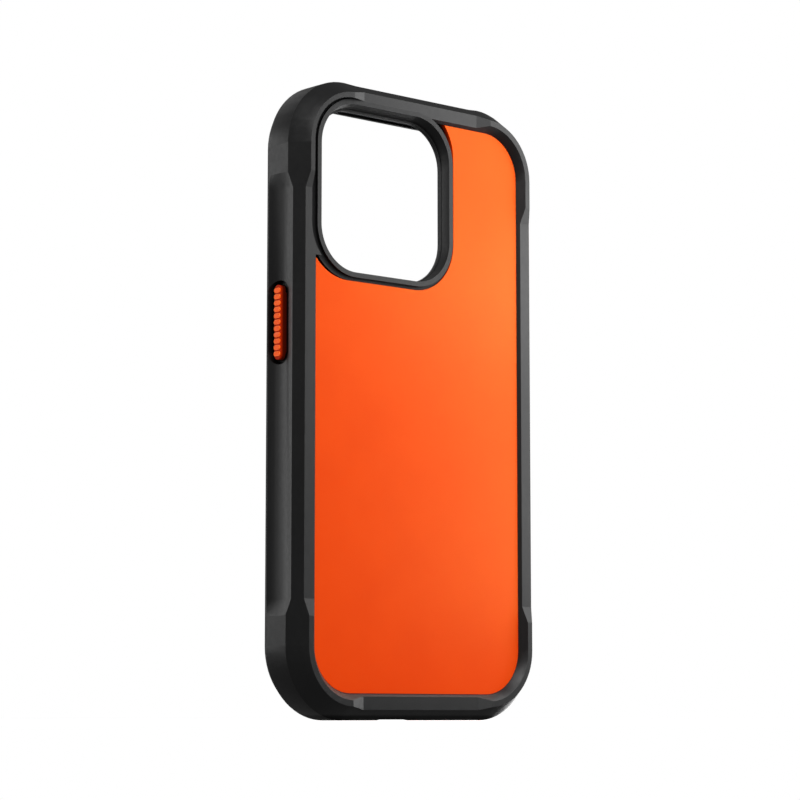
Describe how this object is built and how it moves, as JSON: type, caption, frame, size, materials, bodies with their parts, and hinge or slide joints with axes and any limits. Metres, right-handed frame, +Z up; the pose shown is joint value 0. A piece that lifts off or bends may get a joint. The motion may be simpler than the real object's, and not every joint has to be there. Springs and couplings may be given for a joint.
{
  "type": "rugged phone case",
  "caption": "Rugged phone case with a black bumper, raised corner pads, a recessed orange back, a raised camera rim and ribbed push buttons on its sides.",
  "frame": {"origin": "centre of the footprint at the lowest point, with the case standing upright on its bottom end", "axes": "+X across the width, with the single power button on the -X side; +Y towards the open screen side, so the orange back faces -Y; +Z up along the height, camera window at the top"},
  "size_m": [0.0796, 0.0146, 0.1556],
  "materials": {
    "bumper_elastomer": "matte, fine moulded grain",
    "shell_black": "matte",
    "plate_orange": "matte, fine satin grain",
    "guard_black": "matte",
    "liner_fabric": "brushed microfibre",
    "carrier_plastic": "matte",
    "magnet_metal": "nickel plated, satin",
    "shunt_steel": "rolled",
    "tag_film": "satin film",
    "button_orange": "satin, ribbed",
    "pusher_black": "satin",
    "web_elastomer": "matte",
    "cushion_elastomer": "matte"
  },
  "bodies": {
    "root": {"bumper": "bumper_elastomer", "inner_shell": "shell_black", "back_plate": "plate_orange", "camera_guard": "guard_black", "microfibre_liner": "liner_fabric", "magnet_carrier": "carrier_plastic", "magnet_ring": "magnet_metal", "magnet_shunt": "shunt_steel", "alignment_magnet": "magnet_metal", "nfc_tag": "tag_film", "power_button_web": "web_elastomer", "action_button_web": "web_elastomer", "volume_up_button_web": "web_elastomer", "volume_down_button_web": "web_elastomer", "corner_cushion_top_left": "cushion_elastomer", "corner_cushion_top_right": "cushion_elastomer", "corner_cushion_bottom_right": "cushion_elastomer", "corner_cushion_bottom_left": "cushion_elastomer"},
    "power_button": {"power_button_cap": "button_orange", "power_button_pusher": "pusher_black"},
    "action_button": {"action_button_cap": "button_orange", "action_button_pusher": "pusher_black"},
    "volume_up_button": {"volume_up_button_cap": "button_orange", "volume_up_button_pusher": "pusher_black"},
    "volume_down_button": {"volume_down_button_cap": "button_orange", "volume_down_button_pusher": "pusher_black"}
  },
  "joints": [
    {"name": "power_button_press", "type": "slide", "parent": "root", "child": "power_button", "axis": [1, 0, 0], "range_m": [0, 0.00045], "stiffness_N_per_m": 1500},
    {"name": "action_button_press", "type": "slide", "parent": "root", "child": "action_button", "axis": [-1, 0, 0], "range_m": [0, 0.00045], "stiffness_N_per_m": 1500},
    {"name": "volume_up_button_press", "type": "slide", "parent": "root", "child": "volume_up_button", "axis": [-1, 0, 0], "range_m": [0, 0.00045], "stiffness_N_per_m": 1500},
    {"name": "volume_down_button_press", "type": "slide", "parent": "root", "child": "volume_down_button", "axis": [-1, 0, 0], "range_m": [0, 0.00045], "stiffness_N_per_m": 1500}
  ]
}
